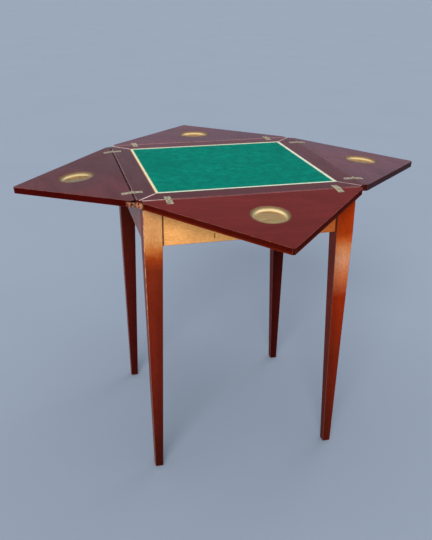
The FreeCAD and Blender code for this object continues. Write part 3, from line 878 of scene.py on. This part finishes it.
# The turning rings in radians to the metre, and where the floor, rim and shoulder begin, in metres
WELL_RINGS = 5200
WELL_FLOOR = (-0.0068, -0.0079)
WELL_RIM = (0.0424, 0.0431)
WELL_SHOULDER = (0.0385, 0.0420)
# The bright brass of each side's well, lighter in front and darker on the left as painted light
WELL_BRIGHT = {
    "front": linear(240, 218, 168),
    "right": linear(236, 212, 162),
    "back": linear(232, 206, 158),
    "left": linear(218, 200, 154),
}


def well_brass(side):
    """Bright spun brass with turning rings, browner in its floor, with painted shade along its rim and upper
    wall.
    """
    g = Graph(f"well_brass_{side}")
    place = g.place["Object"]
    x, y, z = g.axes(place)
    radius = g.math("SQRT", g.plus(g.times(x, x), g.times(y, y)))
    rings = g.math("SINE", g.times(radius, WELL_RINGS))
    floor = g.spread(z, *WELL_FLOOR)
    rim = g.spread(radius, *WELL_RIM)
    shoulder = g.times(g.spread(radius, *WELL_SHOULDER), 0.85)
    shifted = g.shifted(place, (0.3 * SIDES.index(side), 0, 0))
    patch = g.spread(g.noise(shifted, 40, 5, 0.6), 0.3, 0.7)
    streak = g.spread(g.noise(g.scaled(shifted, (30, 190, 30)), 1, 4, 0.6), 0.35, 0.65)
    tone = g.mix(g.times(patch, 0.4), WELL_BRIGHT[side], linear(204, 170, 112))
    worn_floor = g.mix(streak, linear(172, 130, 74), linear(206, 168, 104))
    tone = g.mix(g.times(floor, 0.85), tone, worn_floor)
    # Painted shade along the rim and the upper wall
    rim_shade = g.largest(g.times(rim, 0.92), shoulder)
    tone = g.mix(rim_shade, tone, linear(84, 50, 26))
    g.set(Base_Color=tone, Metallic=g.spread(rim_shade, 0.0, 0.92, 0.92, 0.25))
    rough = g.plus(g.spread(patch, 0.2, 0.8, 0.17, 0.27), g.times(rim_shade, 0.35))
    g.set(Roughness=rough, Specular_IOR_Level=0.15)
    g.bump(g.plus(g.times(rings, 0.3), g.plus(patch, streak)), 0.06, 0.0002)
    return g.material


def make_wells():
    """The four turned wells, each in its flap."""
    profile = [(r / 1000, z / 1000) for r, z in WELL_PROFILE]
    for side in SIDES:
        mesh = lathe(f"well_{side}", profile, WELL_SIDES)
        brass = well_brass(side)
        well = new_object(f"well_{side}", mesh, brass, f"flap_{side}", well_place(side))
        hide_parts(f"counter_well_{side}")


make_wells()

# Slotted screw heads: radius, height of the dome, width and depth of the slot, and thickness, in metres
HEAD_SIDES = 28
SMALL_HEAD = (0.0026, 0.00022, 0.0007, 0.0006, 0.0003)
LARGE_HEAD = (0.0045, 0.0005, 0.0011, 0.0012, 0.0006)


def screw_head(radius, dome, slot_width, slot_depth, sink):
    """The mesh of one slotted head whose rim is at height 0."""
    levels = [(0, -sink), (radius * 0.96, -sink), (radius, -sink * 0.6), (radius, 0.0)]
    levels += [(radius * share, dome * (1 - share * share)) for share in (0.97, 0.85, 0.6, 0.3, 0.0)]
    body = bpy.data.objects.new("head", lathe("head", levels, HEAD_SIDES))
    slot = bmesh.new()
    bmesh.ops.create_cube(slot, size=1)
    bmesh.ops.scale(slot, vec=(3 * radius, slot_width, 2 * slot_depth), verts=slot.verts)
    bmesh.ops.translate(slot, vec=(0, 0, dome), verts=slot.verts)
    cutter = bpy.data.objects.new("slot", finished_mesh("slot", slot))
    for obj in (body, cutter):
        bpy.context.scene.collection.objects.link(obj)
    cut = body.modifiers.new("slot", "BOOLEAN")
    cut.operation = "DIFFERENCE"
    cut.solver = "EXACT"
    cut.object = cutter
    soft = body.modifiers.new("soft", "BEVEL")
    soft.width = radius * 0.035
    soft.limit_method = "ANGLE"
    soft.angle_limit = math.radians(50)
    shown = body.evaluated_get(bpy.context.evaluated_depsgraph_get())
    mesh = bpy.data.meshes.new_from_object(shown)
    for obj in (body, cutter):
        bpy.data.objects.remove(obj)
    return mesh


def set_screws(name, head, places, steel, body):
    """Copies of a head at their places, as one piece."""
    shape = bmesh.new()
    for place in places:
        known = len(shape.verts)
        shape.from_mesh(head)
        shape.verts.ensure_lookup_table()
        bmesh.ops.transform(shape, matrix=place, verts=shape.verts[known:])
    new_object(name, finished_mesh(name, shape, 30), steel, body)


def make_screws():
    """The hinges' screws, and those of the pivot plate and the corner braces, each turned its own way."""
    steel = metal("screw_steel")
    small = screw_head(*SMALL_HEAD)
    top_places = []
    for number, side in enumerate(SIDES):
        for sagged, way in ((False, 1), (True, -1)):
            places = []
            for along in (-HINGE_ALONG, HINGE_ALONG):
                for place_number, out in enumerate(HINGE_SCREWS_OUT):
                    spot = Matrix.Translation((along, way * out, -FACE_DROP))
                    turn = Matrix.Rotation(0.7 + 1.3 * number + 2.1 * place_number + 9 * along, 4, "Z")
                    places.append(side_frame(side, sagged) @ spot @ turn)
            if sagged:
                set_screws(f"hinge_screws_flap_{side}", small, places, steel, f"flap_{side}")
            else:
                top_places += places
    set_screws("hinge_screws_top", small, top_places, steel, "top")
    large = screw_head(*LARGE_HEAD)
    upset = Matrix.Rotation(math.pi, 4, "X")
    places = []
    for number, (x, y) in enumerate(((-1, -1), (1, -1), (1, 1), (-1, 1))):
        spot = Matrix.Translation((PLATE_SCREWS_OUT * x, PLATE_SCREWS_OUT * y, PLATE_BOTTOM))
        places.append(spot @ upset @ Matrix.Rotation(0.4 + 1.1 * number, 4, "Z"))
    set_screws("plate_screws", large, places, steel, "top")
    inward = Vector((1, 1, 0)).to_track_quat("Z", "Y").to_matrix().to_4x4()
    spot = Matrix.Translation((-BRACE_SCREW_OUT, -BRACE_SCREW_OUT, BRACE_MIDDLE))
    places = []
    for number in range(len(CORNERS)):
        heading = Matrix.Rotation(QUARTER * number, 4, "Z")
        places.append(heading @ spot @ inward @ Matrix.Rotation(0.9 * number, 4, "Z"))
    set_screws("brace_screws", large, places, steel, "frame")


make_screws()

# The floor's disc, its radius in metres
FLOOR_RADIUS = 60
FLOOR_SIDES = 96
# The dome's light: how high its pale part begins and ends, and its low and high colour
DOME_RISE = (0.42, 0.80)
DOME_LOW = (0.318, 0.386, 0.483, 1)
DOME_HIGH = (1.12, 1.10, 1.06, 1)
# Each lamp's place, width in degrees, strength and colour, and the middle of the table, which they face
LAMPS = {
    "key": ((-1.5, -3.3, 2.5), 29, 2.8, (1.0, 0.96, 0.9)),
    "fill": ((3.0, 2.6, 2.4), 31, 0.66, (0.92, 0.96, 1.0)),
    "front": ((-0.6, -4.0, 1.1), 45, 0.8, (1.0, 0.96, 0.9)),
}
LIT_POINT = Vector((0, 0, 0.5))


def make_floor():
    """A plain pale floor that only its upper side shows."""
    shape = bmesh.new()
    bmesh.ops.create_circle(shape, cap_ends=True, radius=FLOOR_RADIUS, segments=FLOOR_SIDES)
    mesh = bpy.data.meshes.new("floor")
    shape.to_mesh(mesh)
    shape.free()
    floor = bpy.data.objects.new("floor", mesh)
    bpy.context.scene.collection.objects.link(floor)
    g = Graph("floor_paint")
    cloud = g.noise(g.place["Object"], 1.5, 3)
    g.set(Base_Color=g.mix(cloud, linear(131, 143, 160), linear(136, 148, 165)), Roughness=0.9)
    g.set(Specular_IOR_Level=0.1)
    seen_below = g.add("ShaderNodeNewGeometry").outputs["Backfacing"]
    clear = g.add("ShaderNodeBsdfTransparent").outputs[0]
    shown = g.add("ShaderNodeMixShader", {0: seen_below, 1: g.shader.outputs[0], 2: clear}).outputs[0]
    g.join(shown, g.tree.nodes["Material Output"].inputs["Surface"])
    mesh.materials.append(g.material)


def make_dome():
    """Soft light from all round, paler from above."""
    world = bpy.data.worlds.new("studio_dome")
    bpy.context.scene.world = world
    world.use_nodes = True
    tree = world.node_tree
    place = tree.nodes.new("ShaderNodeTexCoord")
    axes = tree.nodes.new("ShaderNodeSeparateXYZ")
    rise = tree.nodes.new("ShaderNodeMapRange")
    blend = tree.nodes.new("ShaderNodeMix")
    rise.interpolation_type = "SMOOTHSTEP"
    rise.inputs["From Min"].default_value = DOME_RISE[0]
    rise.inputs["From Max"].default_value = DOME_RISE[1]
    blend.data_type = "RGBA"
    blend.inputs[6].default_value = DOME_LOW
    blend.inputs[7].default_value = DOME_HIGH
    tree.links.new(place.outputs["Generated"], axes.inputs[0])
    tree.links.new(axes.outputs[2], rise.inputs["Value"])
    tree.links.new(rise.outputs[0], blend.inputs[0])
    tree.links.new(blend.outputs[2], tree.nodes["Background"].inputs["Color"])


def make_lamps():
    """Wide distant lamps, which leave no glints."""
    for name, (spot, degrees, strength, colour) in LAMPS.items():
        lamp = bpy.data.lights.new(name, "SUN")
        lamp.angle = math.radians(degrees)
        lamp.energy = strength
        lamp.color = colour
        holder = bpy.data.objects.new(name, lamp)
        bpy.context.scene.collection.objects.link(holder)
        holder.visible_glossy = False
        aim = LIT_POINT - Vector(spot)
        holder.matrix_world = Matrix.Translation(spot) @ aim.to_track_quat("-Z", "Y").to_matrix().to_4x4()


# The photograph's camera: its focal length and the image's longer side in pixels, the sensor's in
# millimetres, its place in metres, and its directions
FOCAL_PIXELS = 709.03
IMAGE_PIXELS = 540
SENSOR = 36
CAMERA_AT = Vector((-0.47938, -1.81279, 1.24794))
CAMERA_RIGHT = Vector((0.97039, -0.24147, 0.00552))
CAMERA_DOWN = Vector((-0.08946, -0.38056, -0.92042))
CAMERA_FORWARD = Vector((0.22435, 0.89267, -0.39089))


def make_camera():
    """The camera that sees the table as the photograph does."""
    lens = bpy.data.cameras.new("camera")
    lens.lens = FOCAL_PIXELS * SENSOR / IMAGE_PIXELS
    camera = bpy.data.objects.new("camera", lens)
    bpy.context.scene.collection.objects.link(camera)
    turn = Matrix((CAMERA_RIGHT, -CAMERA_DOWN, -CAMERA_FORWARD)).transposed().to_4x4()
    camera.matrix_world = Matrix.Translation(CAMERA_AT) @ turn
    bpy.context.scene.camera = camera


make_floor()
make_dome()
make_lamps()
make_camera()
bpy.context.scene.view_settings.view_transform = "Standard"

bpy.context.view_layer.update()
